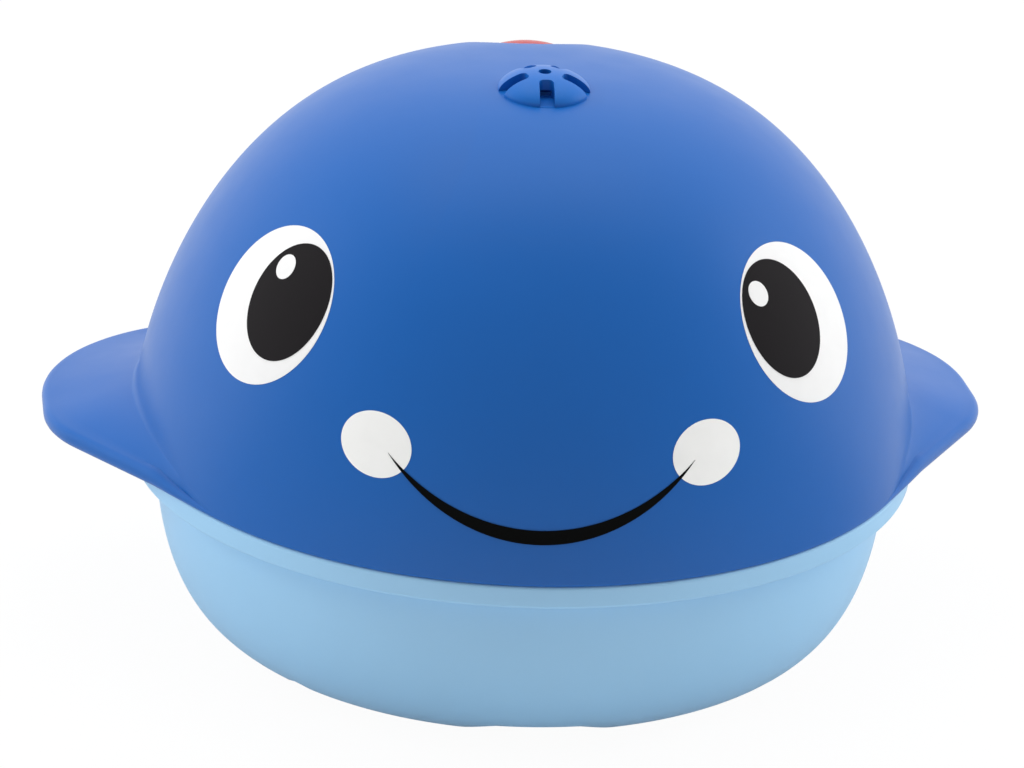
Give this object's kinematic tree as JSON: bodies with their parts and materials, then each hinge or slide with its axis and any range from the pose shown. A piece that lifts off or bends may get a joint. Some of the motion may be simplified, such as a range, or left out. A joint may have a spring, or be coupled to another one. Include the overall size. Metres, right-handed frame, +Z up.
{
  "type": "bath toy",
  "caption": "Floating whale bath toy in two hard shells with side fins, a slotted spray rosette, a push button, a water pump and a battery box",
  "frame": {"origin": "on the body's axis in the plane of the flat base", "axes": "+Z up out of the crown, -Y towards the whale's face, +X towards the whale's left fin"},
  "size_m": [0.1645, 0.1548, 0.1015],
  "materials": {
    "dome_plastic": "satin",
    "hull_plastic": "satin",
    "rosette_plastic": "satin",
    "button_plastic": "gloss",
    "inner_plastic": "matte",
    "dark_plastic": "matte",
    "seal_rubber": "matte",
    "hose_rubber": "matte",
    "lead_cover": "matte",
    "steel": "brushed",
    "brass": "satin",
    "board": "satin",
    "cell_wrap": "satin",
    "white_ink": "satin",
    "cheek_ink": "satin",
    "black_ink": "satin"
  },
  "bodies": {
    "whale": {"upper_shell": "dome_plastic", "lower_shell": "hull_plastic", "shell_gasket": "seal_rubber", "shell_screws": "steel", "spray_rosette": "rosette_plastic", "rosette_seal": "seal_rubber", "riser_hose": "hose_rubber", "button_seal": "seal_rubber", "push_switch": "dark_plastic", "circuit_board": "board", "board_screws": "steel", "sounder": "brass", "intake_strainer": "hull_plastic", "pump_cover": "inner_plastic", "pump_housing": "inner_plastic", "pump_screws": "steel", "shaft_seal": "seal_rubber", "motor_can": "steel", "motor_end_cap": "inner_plastic", "battery_cells": "cell_wrap", "contact_plates": "brass", "contact_springs": "steel", "motor_leads": "lead_cover", "battery_leads": "lead_cover", "eye_whites": "white_ink", "eye_pupils": "black_ink", "eye_glints": "white_ink", "cheek_spots": "cheek_ink", "smile": "black_ink"},
    "button": {"push_button": "button_plastic", "switch_plunger": "inner_plastic"},
    "pump_rotor": {"motor_shaft": "steel", "impeller": "inner_plastic"},
    "door": {"battery_door": "hull_plastic", "door_gasket": "seal_rubber"},
    "door_fastener": {"door_screw": "steel"}
  },
  "joints": [
    {"name": "button_press", "type": "slide", "parent": "whale", "child": "button", "axis": [0, -0.2945, -0.9556], "range_m": [0, 0.002], "stiffness_N_per_m": 400},
    {"name": "pump_spin", "type": "hinge", "parent": "whale", "child": "pump_rotor", "pos_m": [0, -0.033, 0.01], "axis": [0, 0, 1], "continuous": true},
    {"name": "door_lift", "type": "slide", "parent": "whale", "child": "door", "axis": [0, 0, -1], "range_m": [0, 0.02]},
    {"name": "door_screw_turn", "type": "hinge", "parent": "door", "child": "door_fastener", "pos_m": [0, 0.04235, 0.003], "axis": [0, 0, 1], "continuous": true}
  ]
}
